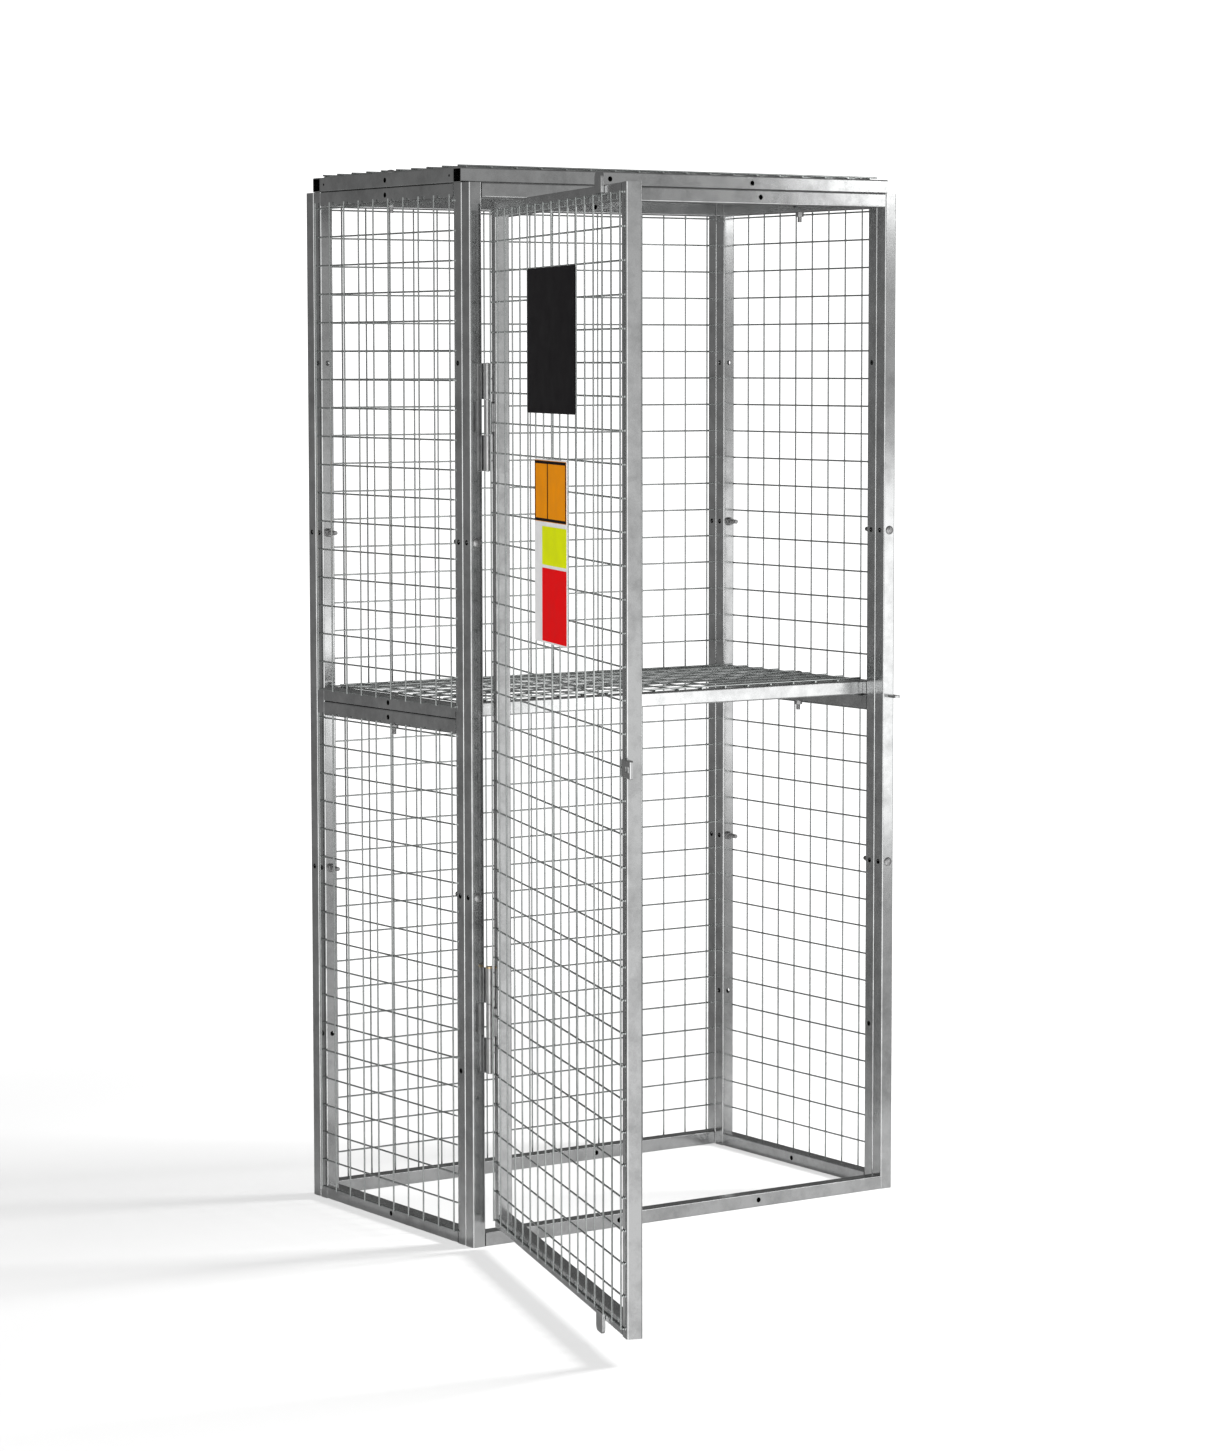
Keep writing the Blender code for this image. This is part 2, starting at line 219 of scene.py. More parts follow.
def edgesAlong(form, axis, least):
    # The edges that reach further than least along an axis.
    number = "xyz".index(axis)
    return [
        edge for edge in form.edges if abs(edge.verts[0].co[number] - edge.verts[1].co[number]) > least]


def rimEdges(form):
    return [edge for edge in form.edges if edge.calc_face_angle(0) > math.radians(60)]


def rodMesh(start, end, radius, sides, tip=0.0):
    # A round bar between two points, with its two rims chamfered by tip.
    form = bmesh.new()
    start, end = Vector(start), Vector(end)
    bmesh.ops.create_cone(
        form, cap_ends=True, cap_tris=False, segments=sides, radius1=radius, radius2=radius,
        depth=(end - start).length)
    if tip:
        rims = [edge for edge in form.edges if abs(edge.verts[0].co.z - edge.verts[1].co.z) < 1e-9]
        bevel(form, rims, tip, 2)
    turn = (end - start).to_track_quat("Z", "Y").to_matrix().to_4x4()
    bmesh.ops.transform(form, matrix=Matrix.Translation((start + end) / 2) @ turn, verts=form.verts)
    return form


def mergeInto(form, extra):
    mesh = bpy.data.meshes.new("part")
    extra.to_mesh(mesh)
    extra.free()
    form.from_mesh(mesh)
    bpy.data.meshes.remove(mesh)
    return form


def carve(form, cutters):
    # Cuts the closed shapes in cutters out of form.
    stock = bpy.data.meshes.new("stock")
    form.to_mesh(stock)
    form.free()
    blank = bpy.data.objects.new("blank", stock)
    tool = bpy.data.meshes.new("tool")
    cutters.to_mesh(tool)
    cutters.free()
    cutter = bpy.data.objects.new("cutter", tool)
    for item in (blank, cutter):
        bpy.context.scene.collection.objects.link(item)
    cut = blank.modifiers.new("cut", "BOOLEAN")
    cut.operation, cut.solver, cut.object = "DIFFERENCE", "EXACT", cutter
    graph = bpy.context.evaluated_depsgraph_get()
    result = bpy.data.meshes.new_from_object(blank.evaluated_get(graph))
    made = bmesh.new()
    made.from_mesh(result)
    for item in (blank, cutter):
        bpy.data.objects.remove(item)
    for mesh in (stock, tool, result):
        bpy.data.meshes.remove(mesh)
    return made


sharpAngle = 35.0


def finishPiece(name, form, material, body, nodes=()):
    bmesh.ops.recalc_face_normals(form, faces=form.faces)
    if body == "door":
        bmesh.ops.transform(form, matrix=toOpen, verts=form.verts)
    mesh = bpy.data.meshes.new(name)
    form.to_mesh(mesh)
    form.free()
    mesh.materials.append(material)
    for face in mesh.polygons:
        face.use_smooth = True
    mesh.set_sharp_from_angle(angle=math.radians(sharpAngle))
    piece = bpy.data.objects.new(name, mesh)
    bpy.context.scene.collection.objects.link(piece)
    weigh = piece.modifiers.new("flatFaces", "WEIGHTED_NORMAL")
    weigh.keep_sharp = True
    weigh.weight = 100
    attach(piece, body)
    if nodes:
        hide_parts(*nodes)
    return piece


def camel(node):
    first, *others = node.split("_")
    return first + "".join(word.capitalize() for word in others)


squareTube = {
    "corner": 0.0028, "cornerSteps": 4, "wall": 0.0017,
    "boltHole": 0.0045, "smallHole": 0.0022, "smallHoleInset": 0.012, "holeSides": 28, "drillReach": 0.02,
}


def tubePiece(node, along, holes=(), body="cage"):
    # holes are (place along the tube, axis it is drilled on, radius)
    low, high = nodeBox(node)
    axis = "xyz".index(along)
    form = boxMesh(low, high)
    ends = [face for face in form.faces if abs(face.normal[axis]) > 0.9]
    bmesh.ops.delete(form, geom=ends, context="FACES_ONLY")
    edges = edgesAlong(form, along, (high - low)[axis] * 0.9)
    bevel(form, edges, squareTube["corner"], squareTube["cornerSteps"])
    bmesh.ops.recalc_face_normals(form, faces=form.faces)
    middle = (low + high) / 2
    outwards = sum((face.calc_center_median() - middle).dot(face.normal) for face in form.faces)
    if outwards < 0:
        bmesh.ops.reverse_faces(form, faces=form.faces)
    bmesh.ops.solidify(form, geom=form.faces[:], thickness=squareTube["wall"])
    if holes:
        drills = bmesh.new()
        for place, letter, radius in holes:
            point = middle.copy()
            point[axis] = place
            reach = Vector([squareTube["drillReach"] if letter == other else 0 for other in "xyz"])
            mergeInto(drills, rodMesh(point - reach, point + reach, radius, squareTube["holeSides"]))
        form = carve(form, drills)
    return finishPiece(camel(node), form, tubeZinc, body, [node])


bolt, small = squareTube["boltHole"], squareTube["smallHole"]
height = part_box("front_left_post")[1].z
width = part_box("roof_front_tube")[1].x * 2
middleY = sum(corner.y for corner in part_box("left_top_rail")) / 2
thirds = [height / 3, height * 2 / 3]
sixths = [height / 6, height * 5 / 6]
thirdPlaces = [-width / 6, width / 6]
for side in ("left", "right"):
    tubePiece(f"front_{side}_post", "z", [(place, "x", bolt) for place in thirds])
    tubePiece(f"back_{side}_post", "z", [(place, "x", bolt) for place in thirds])
    sideHoles = [(place, "x", bolt) for place in thirds + sixths]
    tubePiece(f"{side}_front_upright", "z", sideHoles)
    tubePiece(f"{side}_rear_upright", "z", sideHoles + [(place, "y", bolt) for place in sixths])
    for level in ("bottom", "middle", "top"):
        tubePiece(f"{side}_{level}_rail", "y", [(middleY, "x", bolt)])
    low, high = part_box(f"roof_{side}_tube")
    inset = squareTube["smallHoleInset"]
    ends = [(low.y + inset, "x", small), (high.y - inset, "x", small)]
    tubePiece(f"roof_{side}_tube", "y", [(middleY, "x", bolt)] + ends)
    tubePiece(f"shelf_{side}_tube", "y", [(middleY, "x", bolt)])
for level in ("bottom", "top"):
    for end in ("front", "back"):
        tubePiece(f"{end}_{level}_rail", "x", [(place, "y", bolt) for place in thirdPlaces])
for end in ("front", "rear"):
    tubePiece(f"roof_{end}_tube", "x", [(place, "y", bolt) for place in thirdPlaces])
    tubePiece(f"shelf_{end}_tube", "x")
for stile in ("hinge", "lock"):
    tubePiece(f"door_{stile}_stile", "z", body="door")
for level in ("bottom", "top"):
    tubePiece(f"door_{level}_rail", "x", body="door")
print("tubes made")


weldedMesh = {"pitch": 0.050, "radius": 0.0015, "bite": 0.0005, "sides": 10, "gap": 0.0003}
# For each sheet: the wires' ends on an axis, the first wire's place on it and the number of wires.
sheets = {
    "sideDepth": ((0.0352, 0.4967), 0.0432, 10),
    "lower": ((0.0190, 0.8790), 0.021, 18), "upper": ((0.9195, 1.7810), 0.921, 18),
    "backHeight": ((0.0190, 1.7810), 0.021, 36), "backWidth": ((-0.4290, 0.4290), -0.425, 18),
    "roofDepth": ((0.0230, 0.4970), 0.0350, 10), "roofWidth": ((-0.4420, 0.4420), -0.432, 18),
    "shelfDepth": ((0.0560, 0.4640), 0.0600, 9), "shelfWidth": ((-0.4290, 0.4290), -0.425, 18),
    "doorHeight": ((0.0495, 1.7525), 0.0508, 35), "doorWidth": ((-0.4075, 0.3985), -0.4056, 17),
}


def meshSheet(name, axis, face, sign, outer, rows, body, node):
    # The outer wires run along the axis called outer. rows names, for each axis of the sheet,
    # its entry in sheets: span[a] are the wires' ends on axis a, and places[a] the coordinates
    # on axis a of the wires that run along the other one.
    inner = next(letter for letter in "xyz" if letter not in (axis, outer))
    span = {letter: sheets[row][0] for letter, row in rows.items()}
    places = {
        letter: [sheets[row][1] + weldedMesh["pitch"] * index for index in range(sheets[row][2])]
        for letter, row in rows.items()}
    radius = weldedMesh["radius"]
    innerDepth = face + sign * (weldedMesh["gap"] + radius)
    outerDepth = innerDepth + sign * (2 * radius - weldedMesh["bite"])
    form = bmesh.new()

    def spot(depth, innerPlace, outerPlace):
        return Vector([{axis: depth, inner: innerPlace, outer: outerPlace}[letter] for letter in "xyz"])

    for place in places[inner]:
        mergeInto(form, rodMesh(
            spot(outerDepth, place, span[outer][0]), spot(outerDepth, place, span[outer][1]),
            radius, weldedMesh["sides"]))
    for place in places[outer]:
        mergeInto(form, rodMesh(
            spot(innerDepth, span[inner][0], place), spot(innerDepth, span[inner][1], place),
            radius, weldedMesh["sides"]))
    return finishPiece(name, form, wireZinc, body, [node])


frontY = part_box("front_left_post")[0].y
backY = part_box("back_left_post")[1].y
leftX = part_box("left_top_rail")[0].x
rightX = -leftX
for side, face, sign in (("left", leftX, -1), ("right", rightX, 1)):
    for level in ("lower", "upper"):
        meshSheet(
            f"{side}{level.capitalize()}Mesh", "x", face, sign, "z", {"y": "sideDepth", "z": level}, "cage",
            f"{side}_{level}_mesh")
meshSheet("backMesh", "y", backY, 1, "z", {"x": "backWidth", "z": "backHeight"}, "cage", "back_mesh")
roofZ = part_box("roof_front_tube")[1].z
meshSheet("roofMesh", "z", roofZ, 1, "x", {"x": "roofWidth", "y": "roofDepth"}, "cage", "roof_mesh")
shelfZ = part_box("shelf_front_tube")[1].z
meshSheet("shelfMesh", "z", shelfZ, 1, "x", {"x": "shelfWidth", "y": "shelfDepth"}, "cage", "shelf_mesh")
doorFace = nodeBox("door_hinge_stile")[0].y
meshSheet("doorMesh", "y", doorFace, -1, "z", {"x": "doorWidth", "z": "doorHeight"}, "door", "door_mesh")
print("mesh sheets made")


tongue = {"corner": 0.009, "cornerSteps": 8, "edge": 0.0006}


def tonguePiece(node, upwards):
    low, high = nodeBox(node)
    form = boxMesh(low, high)
    tipZ = high.z if upwards else low.z
    corners = [
        edge for edge in edgesAlong(form, "y", 0.001)
        if all(abs(vert.co.z - tipZ) < 1e-6 for vert in edge.verts)]
    bevel(form, corners, tongue["corner"], tongue["cornerSteps"])
    bevel(form, rimEdges(form), tongue["edge"], 2)
    return finishPiece(camel(node), form, lockZinc, "door", [node])


tonguePiece("top_stop_tongue", True)
tonguePiece("bottom_stop_tongue", False)


lock = {
    "wall": 0.0014, "trayEdge": 0.0024, "slotWidth": 0.020, "slotHeight": 0.009, "slotCorner": 0.002,
    "stapleCorner": 0.0056, "stapleEdge": 0.0005, "eye": 0.0035, "eyeReach": 0.02, "cutReach": 0.01,
}
stapleLow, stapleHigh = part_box("lock_staple")
stapleX, stapleZ = (stapleLow.x + stapleHigh.x) / 2, (stapleLow.z + stapleHigh.z) / 2
low, high = nodeBox("lock_hasp")
form = boxMesh(low, high)
bmesh.ops.delete(form, geom=[face for face in form.faces if face.normal.y > 0.9], context="FACES_ONLY")
edges = [edge for edge in form.edges if len(edge.link_faces) == 2]
bevel(form, edges, lock["trayEdge"], 4)
bmesh.ops.recalc_face_normals(form, faces=form.faces)
frontFace = min(form.faces, key=lambda face: face.calc_center_median().y)
if frontFace.normal.y > 0:
    bmesh.ops.reverse_faces(form, faces=form.faces)
bmesh.ops.solidify(form, geom=form.faces[:], thickness=lock["wall"])
slot = boxMesh(
    (stapleX - lock["slotWidth"] / 2, low.y - lock["cutReach"], stapleZ - lock["slotHeight"] / 2),
    (stapleX + lock["slotWidth"] / 2, high.y + lock["cutReach"], stapleZ + lock["slotHeight"] / 2))
bevel(slot, edgesAlong(slot, "y", lock["cutReach"]), lock["slotCorner"], 4)
finishPiece("lockTray", carve(form, slot), lockZinc, "door", ["lock_hasp"])

form = boxMesh(stapleLow, stapleHigh)
corners = [
    edge for edge in edgesAlong(form, "z", 0.001)
    if all(abs(vert.co.y - stapleLow.y) < 1e-6 for vert in edge.verts)]
bevel(form, corners, lock["stapleCorner"], 8)
bevel(form, rimEdges(form), lock["stapleEdge"], 2)
eyeY = stapleLow.y + (stapleHigh.x - stapleLow.x) / 2
eye = rodMesh(
    (stapleX, eyeY, stapleZ - lock["eyeReach"]), (stapleX, eyeY, stapleZ + lock["eyeReach"]),
    lock["eye"], 24)
finishPiece("lockStaple", carve(form, eye), lockZinc, "cage", ["lock_staple"])
print("lock made")


hinge = {
    "radius": 0.0055, "pin": 0.0025, "play": 0.0008, "sides": 28, "chamfer": 0.0005,
    "leaf": 0.0022, "leafWidth": 0.018, "leafShort": 0.0035, "leafCorner": 0.004,
    "washerRadius": 0.0066, "washerHeight": 0.0034, "pinEnd": 0.001, "pinSides": 20, "pinTip": 0.0006,
}
axisX, axisY = door["axis"].x, door["axis"].y
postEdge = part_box("front_left_post")[1].x
for level in ("lower", "upper"):
    low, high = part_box(f"{level}_hinge_post_leaf")
    middleZ = (low.z + high.z) / 2
    knuckle = (high.z - low.z - 2 * hinge["pinEnd"]) / 3
    bottom, top = middleZ - knuckle * 1.5, middleZ + knuckle * 1.5
    leaf = boxMesh((postEdge + hinge["play"] / 4, axisY, bottom), (axisX, high.y, top))
    notch = boxMesh(
        (low.x - 0.01, axisY - 0.02, middleZ - knuckle / 2),
        (axisX + 0.02, high.y + 0.01, middleZ + knuckle / 2))
    form = carve(leaf, notch)
    for start in (bottom, middleZ + knuckle / 2):
        mergeInto(form, rodMesh(
            (axisX, axisY, start), (axisX, axisY, start + knuckle), hinge["radius"], hinge["sides"],
            hinge["chamfer"]))
    mergeInto(form, rodMesh(
        (axisX, axisY, bottom - hinge["pinEnd"]), (axisX, axisY, top + hinge["pinEnd"]), hinge["pin"],
        hinge["pinSides"], hinge["pinTip"]))
    finishPiece(f"{level}HingePostLeaf", form, hingeZinc, "cage", [f"{level}_hinge_post_leaf"])

    base, crown = middleZ - knuckle / 2 + hinge["play"], middleZ + knuckle / 2 - hinge["play"]
    faceY = doorFace - weldedMesh["gap"]
    form = boxMesh(
        (axisX + 0.001, faceY - hinge["leaf"], base + hinge["leafShort"]),
        (axisX + hinge["leafWidth"], faceY, crown - hinge["leafShort"]))
    corners = [
        edge for edge in edgesAlong(form, "y", 0.001)
        if all(vert.co.x > axisX + hinge["leafWidth"] / 2 for vert in edge.verts)]
    bevel(form, corners, hinge["leafCorner"], 6)
    mergeInto(form, rodMesh(
        (axisX, axisY, base), (axisX, axisY, crown), hinge["radius"], hinge["sides"], hinge["chamfer"]))
    finishPiece(f"{level}HingeDoorLeaf", form, hingeZinc, "door", [f"{level}_hinge_door_leaf"])
    if level == "lower":
        finishPiece("lowerHingeWasher", rodMesh(
            (axisX, axisY, top), (axisX, axisY, top + hinge["washerHeight"]), hinge["washerRadius"],
            hinge["sides"], hinge["chamfer"]), washerBrass, "cage")
print("hinges made")


bolts = {
    "shank": 0.0040, "headRadius": 0.0080, "headHeight": 0.0044, "nutAcross": 0.0130, "nutHeight": 0.0065,
    "washerRadius": 0.0080, "washerHeight": 0.0014, "thread": 0.00125, "threadRoot": 0.86,
    "roofHeadRadius": 0.0095, "roofHeadHeight": 0.0060, "washerChamfer": 0.0003, "nutChamfer": 0.0005,
    "frontTail": 0.010, "rearTail": 0.018, "upTail": 0.010,
}


def boltPiece(name, head, nut, tail, headRadius=bolts["headRadius"], headHeight=bolts["headHeight"]):
    # head and nut are the points where the bolt meets the tubes' outer faces, and tail is how far
    # the thread stands out of the nut.
    head, nut = Vector(head), Vector(nut)
    run = (nut - head).normalized()
    form = bmesh.new()
    bmesh.ops.create_uvsphere(form, u_segments=24, v_segments=12, radius=headRadius)
    bmesh.ops.bisect_plane(
        form, geom=form.verts[:] + form.edges[:] + form.faces[:], plane_co=(0, 0, 0), plane_no=(0, 0, 1),
        clear_outer=True)
    rim = [edge for edge in form.edges if edge.is_boundary]
    bmesh.ops.contextual_create(form, geom=rim)
    bmesh.ops.scale(form, vec=(1, 1, headHeight / headRadius), verts=form.verts)
    length = (nut - head).length
    mergeInto(form, rodMesh((0, 0, 0), (0, 0, length), bolts["shank"], 16))
    mergeInto(form, rodMesh(
        (0, 0, length), (0, 0, length + bolts["washerHeight"]), bolts["washerRadius"], 24,
        bolts["washerChamfer"]))
    nutStart = length + bolts["washerHeight"]
    nutForm = bmesh.new()
    bmesh.ops.create_cone(
        nutForm, cap_ends=True, segments=6, radius1=bolts["nutAcross"] / math.sqrt(3),
        radius2=bolts["nutAcross"] / math.sqrt(3), depth=bolts["nutHeight"])
    bevel(nutForm, nutForm.edges[:], bolts["nutChamfer"], 2)
    bmesh.ops.translate(nutForm, vec=(0, 0, nutStart + bolts["nutHeight"] / 2), verts=nutForm.verts)
    mergeInto(form, nutForm)
    place = nutStart + bolts["nutHeight"]
    for index in range(int(tail / bolts["thread"])):
        bmesh.ops.create_cone(
            form, cap_ends=True, segments=16, radius1=bolts["shank"],
            radius2=bolts["shank"] * bolts["threadRoot"], depth=bolts["thread"],
            matrix=Matrix.Translation((0, 0, place + bolts["thread"] * (index + 0.5))))
    turn = run.to_track_quat("Z", "Y").to_matrix().to_4x4()
    bmesh.ops.transform(form, matrix=Matrix.Translation(head) @ turn, verts=form.verts)
    return finishPiece(name, form, boltZinc, "cage")


postX = (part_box("front_right_post")[0].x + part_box("front_right_post")[1].x) / 2
for side, x in (("left", -postX), ("right", postX)):
    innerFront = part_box(f"{side}_front_upright")[1].y
    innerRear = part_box(f"{side}_rear_upright")[0].y
    for index, z in enumerate(thirds):
        boltPiece(f"{side}FrontBolt{index + 1}", (x, frontY, z), (x, innerFront, z), bolts["frontTail"])
        boltPiece(f"{side}RearBolt{index + 1}", (x, backY, z), (x, innerRear, z), bolts["rearTail"])
    boltPiece(
        f"{side}RoofBolt", (x, middleY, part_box(f"roof_{side}_tube")[1].z),
        (x, middleY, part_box(f"{side}_top_rail")[0].z), bolts["upTail"], bolts["roofHeadRadius"],
        bolts["roofHeadHeight"])
    boltPiece(
        f"{side}ShelfBolt", (x, middleY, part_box(f"shelf_{side}_tube")[1].z),
        (x, middleY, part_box(f"{side}_middle_rail")[0].z), bolts["upTail"])
print("bolts made")


plates = {
    "thickness": 0.0012, "corner": 0.004, "frame": 0.0045, "frameInset": 0.0008, "divider": -0.019,
    "gap": 0.0002, "printLift": 0.0001, "printDepth": 0.0003, "printCorner": 0.002,
    "frameLift": 0.0005, "frameDepth": 0.0002,
    "dark": ((-0.147, 1.421), (0.146, 1.650)),
    "backing": ((-0.102, 1.058), (0.097, 1.349)),
    "amber": ((-0.100, 1.250), (0.095, 1.347)),
    "yellow": ((-0.054, 1.182), (0.095, 1.243)),
    "red": ((-0.054, 1.061), (0.095, 1.177)),
}
plateColours = {
    "dark": ((0.004, 0.003, 0.004), 0.35), "backing": ((0.80, 0.80, 0.80), 0.35),
    "amber": ((0.80, 0.27, 0.002), 0.45), "yellow": ((0.72, 0.80, 0.002), 0.45),
    "red": ((0.80, 0.002, 0.004), 0.45),
}
plateFace = doorFace - weldedMesh["gap"] - 4 * weldedMesh["radius"] + weldedMesh["bite"] - plates["gap"]
for name, (colour, roughness) in plateColours.items():
    (lowX, lowZ), (highX, highZ) = plates[name]
    if name in ("dark", "backing"):
        lift, depth, corner = 0, plates["thickness"], plates["corner"]
    else:
        lift = plates["thickness"] + plates["printLift"]
        depth, corner = plates["printDepth"], plates["printCorner"]
    form = boxMesh((lowX, plateFace - lift - depth, lowZ), (highX, plateFace - lift, highZ))
    bevel(form, edgesAlong(form, "y", 1e-5), corner, 5)
    finishPiece(f"{name}Plate", form, plateMaterial(f"{name}Plastic", colour, roughness), "door")

frameWidth, divider = plates["frame"], plates["divider"]
(lowX, lowZ), (highX, highZ) = plates["amber"]
inset = plates["frameInset"]
bars = [
    (lowX + inset, lowZ + inset, highX - inset, lowZ + inset + frameWidth),
    (lowX + inset, highZ - inset - frameWidth, highX - inset, highZ - inset),
    (lowX + inset, lowZ + inset, lowX + inset + frameWidth, highZ - inset),
    (highX - inset - frameWidth, lowZ + inset, highX - inset, highZ - inset),
    (divider - frameWidth / 2, lowZ + inset, divider + frameWidth / 2, highZ - inset)]
lift = plates["thickness"] + plates["frameLift"]
frameBack = plateFace - lift - plates["frameDepth"]
form = bmesh.new()
for startX, startZ, endX, endZ in bars:
    mergeInto(form, boxMesh((startX, frameBack, startZ), (endX, plateFace - lift, endZ)))
framePlastic = plateMaterial("framePlastic", plateColours["dark"][0], 0.45)
finishPiece("amberPlateFrame", form, framePlastic, "door")
print("plates made")


studio = {
    "floorSize": 12.0,
    # Where the floor starts to fade out, where it is gone, and how much it covers.
    "floorSeen": (1.6, 3.6, 0.58), "floorMirrored": (0.70, 1.50, 0.50),
    "floorShade": 0.90, "floorRoughness": 0.6,
    "cameraPlace": (-4.0246, -5.7305, 1.5033),
    "yaw": 33.951, "pitch": -5.175, "roll": -0.070,
    "lens": 99.858,
    "backdrop": 1.30,
    "overhead": 0.24,
    # Heights, as the sine of the angle, between which a band blends into the next one up.
    "lowToHigh": (-0.04, 0.06), "highToOverhead": (0.25, 0.75),
    # Bearing in degrees and brightness of the studio below and above eye level.
    "low": (
        (-180, 1.18), (-166, 1.30), (-154, 2.60), (-126, 2.60), (-106, 1.00), (-84, 0.36),
        (-10, 0.28), (30, 0.12), (62, 0.16), (105, 0.42), (132, 0.88), (148, 0.48), (165, 1.00), (180, 1.18)),
    "high": (
        (-180, 0.54), (-166, 0.60), (-154, 1.70), (-128, 1.70), (-108, 0.70), (-80, 0.28),
        (-10, 0.24), (30, 0.12), (62, 0.16), (105, 0.36), (132, 0.80), (148, 0.44), (160, 0.50), (180, 0.54)),
}
floorForm = bmesh.new()
bmesh.ops.create_grid(floorForm, x_segments=1, y_segments=1, size=studio["floorSize"] / 2)
floorMesh = bpy.data.meshes.new("floor")
floorForm.to_mesh(floorMesh)
floorForm.free()
floorObject = bpy.data.objects.new("floor", floorMesh)
bpy.context.scene.collection.objects.link(floorObject)
floorMaterial, floorTree, floorSurface = newMaterial("paleFloor")
floorSurface.inputs["Base Color"].default_value = (studio["floorShade"],) * 3 + (1,)
floorSurface.inputs["Roughness"].default_value = studio["floorRoughness"]
reach = addNode(
    floorTree, "ShaderNodeVectorMath", {"operation": "LENGTH"},
    Vector=addNode(floorTree, "ShaderNodeTexCoord").outputs["Object"])
covers = []  # how much of the floor the camera sees, and how much the metal mirrors
for key in ("floorSeen", "floorMirrored"):
    fadeStart, fadeEnd, strength = studio[key]
    fade = addNode(
        floorTree, "ShaderNodeMapRange", {"interpolation_type": "SMOOTHSTEP"}, Value=reach.outputs["Value"])
    fade.inputs["From Min"].default_value = fadeStart
    fade.inputs["From Max"].default_value = fadeEnd
    fade.inputs["To Min"].default_value = strength
    fade.inputs["To Max"].default_value = 0.0
    covers.append(fade.outputs["Result"])
cover = addNode(floorTree, "ShaderNodeMix", A=covers[0], B=covers[1])
floorTree.links.new(
    addNode(floorTree, "ShaderNodeLightPath").outputs["Is Glossy Ray"], cover.inputs["Factor"])
floorTree.links.new(cover.outputs["Result"], floorSurface.inputs["Alpha"])
floorMesh.materials.append(floorMaterial)

world = bpy.data.worlds.new("studio")
bpy.context.scene.world = world
world.use_nodes = True
sky = world.node_tree
background = sky.nodes["Background"]
direction = addNode(sky, "ShaderNodeTexCoord").outputs["Generated"]
rise = addNode(sky, "ShaderNodeSeparateXYZ", Vector=direction)
bearing = addNode(sky, "ShaderNodeMath", {"operation": "ARCTAN2"})  # 0 towards +Y, +90 towards +X
sky.links.new(rise.outputs["X"], bearing.inputs[0])
sky.links.new(rise.outputs["Y"], bearing.inputs[1])
turn = addNode(sky, "ShaderNodeMapRange", Value=bearing.outputs[0])
turn.inputs["From Min"].default_value = -math.pi
turn.inputs["From Max"].default_value = math.pi
walls = addNode(sky, "ShaderNodeMix", {"data_type": "RGBA"})
level = addNode(sky, "ShaderNodeMapRange", {"interpolation_type": "SMOOTHSTEP"}, Value=rise.outputs["Z"])
blendStart, blendEnd = studio["lowToHigh"]
level.inputs["From Min"].default_value = blendStart
level.inputs["From Max"].default_value = blendEnd
sky.links.new(level.outputs["Result"], walls.inputs["Factor"])
for socket, band in (("A", "low"), ("B", "high")):
    stops = [((degrees + 180) / 360, light) for degrees, light in studio[band]]
    shade = ramp(sky, turn.outputs["Result"], stops)
    sky.links.new(shade, walls.inputs[socket])
overhead = addNode(sky, "ShaderNodeMapRange", {"interpolation_type": "SMOOTHSTEP"}, Value=rise.outputs["Z"])
blendStart, blendEnd = studio["highToOverhead"]
overhead.inputs["From Min"].default_value = blendStart
overhead.inputs["From Max"].default_value = blendEnd
tone = addNode(sky, "ShaderNodeMix", {"data_type": "RGBA"})
sky.links.new(overhead.outputs["Result"], tone.inputs["Factor"])
sky.links.new(walls.outputs["Result"], tone.inputs["A"])
tone.inputs["B"].default_value = (studio["overhead"],) * 3 + (1,)
seen = addNode(sky, "ShaderNodeMix", {"data_type": "RGBA"})  # the backdrop itself is plain white
sky.links.new(addNode(sky, "ShaderNodeLightPath").outputs["Is Camera Ray"], seen.inputs["Factor"])
sky.links.new(tone.outputs["Result"], seen.inputs["A"])
seen.inputs["B"].default_value = (studio["backdrop"],) * 3 + (1,)
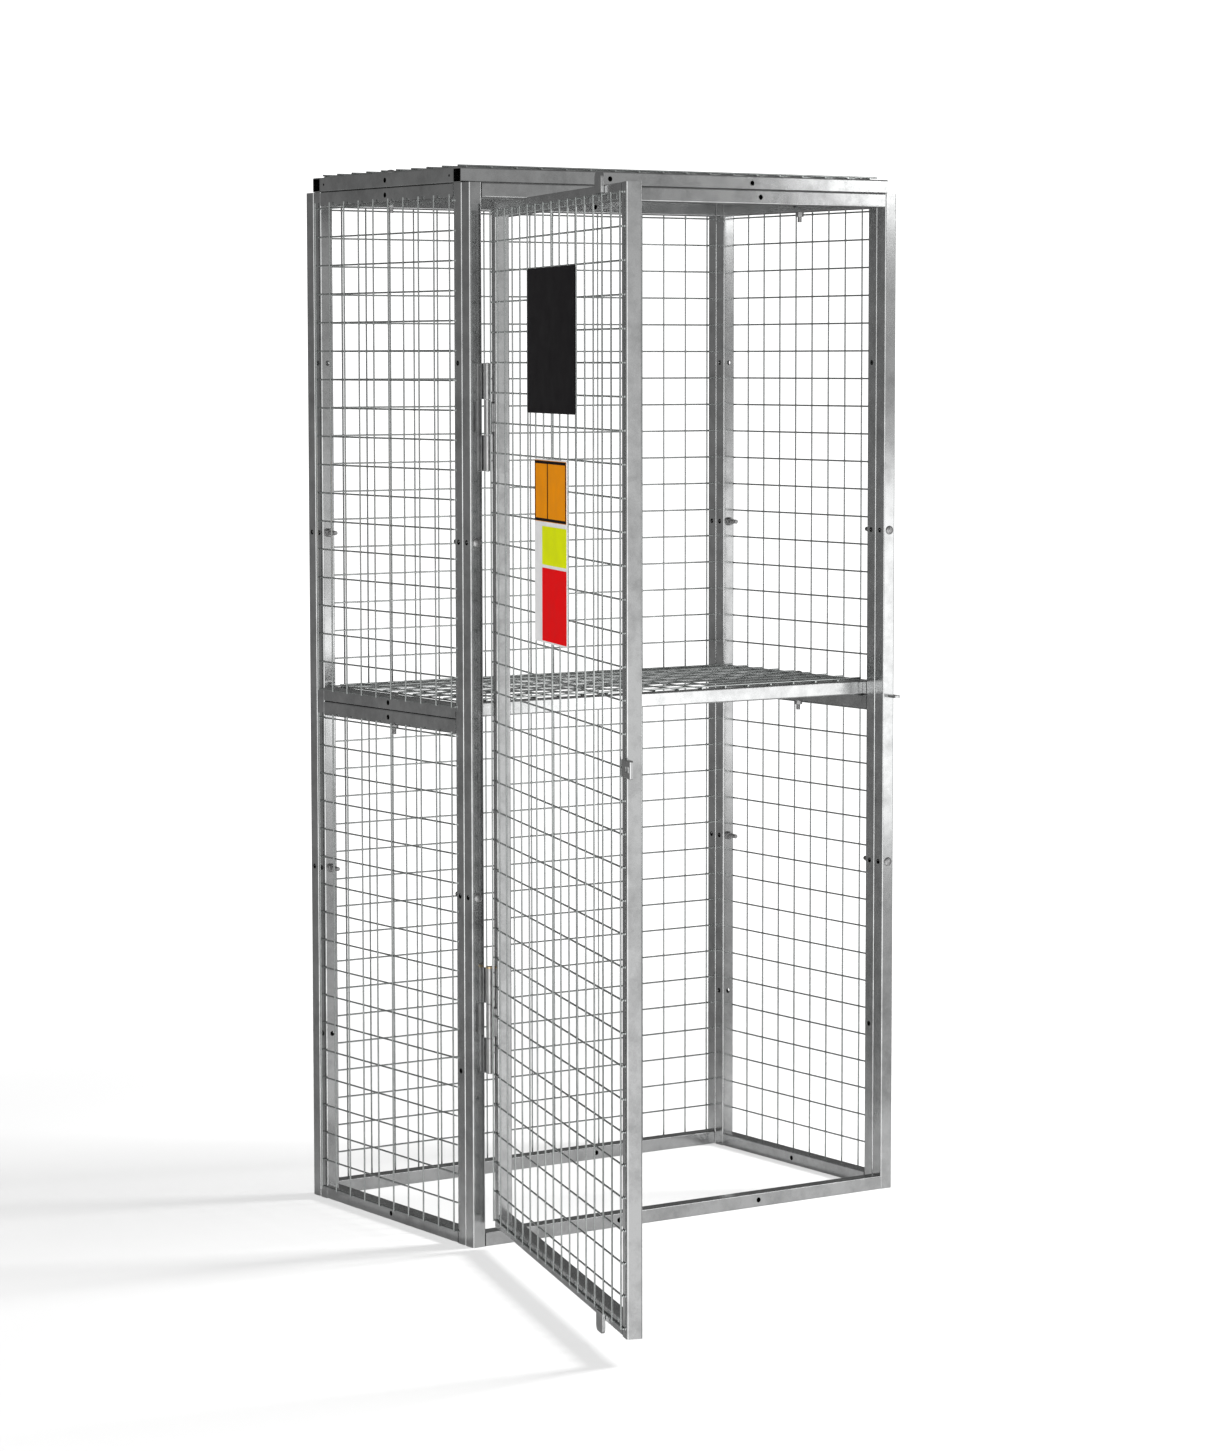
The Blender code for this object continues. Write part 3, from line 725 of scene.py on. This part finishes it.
sky.links.new(seen.outputs["Result"], background.inputs["Color"])
background.inputs["Strength"].default_value = 1.0


# For each lamp: its place, what it points at, its size, its power and whether the metal mirrors it.
# A lamp that isn't mirrored lights the floor and the plates but leaves no glint on metal.
lamps = {
    "nearRight": ((1.35, -1.5, 0.85), (0.35, 0, 0.85), (0.9, 0.85), 4.0, True),
    "shelfStrip": ((0.78, -1.5, 0.76), (-0.25, 0, 0.80), (0.46, 0.26), 0.75, True),
    "upperRight": ((1.86, -1.5, 2.02), (0.45, 0, 1.85), (0.7, 0.36), 2.8, True),
    "leftSide": ((-3.4, -1.3, 1.9), (-0.5, -0.3, 1.2), (2.6, 2.2), 34, False),
    "rightSide": ((3.2, -0.9, 3.3), (0, 0.1, 0.5), (1.1, 1.1), 290, False),
}


def softbox(name, place, target, size, power, mirrored):
    light = bpy.data.lights.new(name, "AREA")
    light.shape = "RECTANGLE"
    light.size, light.size_y = size
    light.energy = power
    lamp = bpy.data.objects.new(name, light)
    bpy.context.scene.collection.objects.link(lamp)
    lamp.location = place
    lamp.rotation_euler = (Vector(target) - Vector(place)).to_track_quat("-Z", "Y").to_euler()
    lamp.visible_glossy = mirrored


for name, row in lamps.items():
    softbox(name, *row)

camera = bpy.data.cameras.new("camera")
camera.lens = studio["lens"]
camera.sensor_width = 36
cameraObject = bpy.data.objects.new("camera", camera)
bpy.context.scene.collection.objects.link(cameraObject)
yaw, pitch, roll = [math.radians(studio[key]) for key in ("yaw", "pitch", "roll")]
forward = Vector((math.sin(yaw) * math.cos(pitch), math.cos(yaw) * math.cos(pitch), math.sin(pitch)))
right = Vector((math.cos(yaw), -math.sin(yaw), 0))
up = right.cross(forward)
rolledRight = right * math.cos(roll) + up * math.sin(roll)
rolledUp = up * math.cos(roll) - right * math.sin(roll)
axes = Matrix((rolledRight, rolledUp, -forward)).transposed().to_4x4()
cameraObject.matrix_world = Matrix.Translation(studio["cameraPlace"]) @ axes
bpy.context.scene.camera = cameraObject
bpy.context.scene.view_settings.view_transform = "Standard"
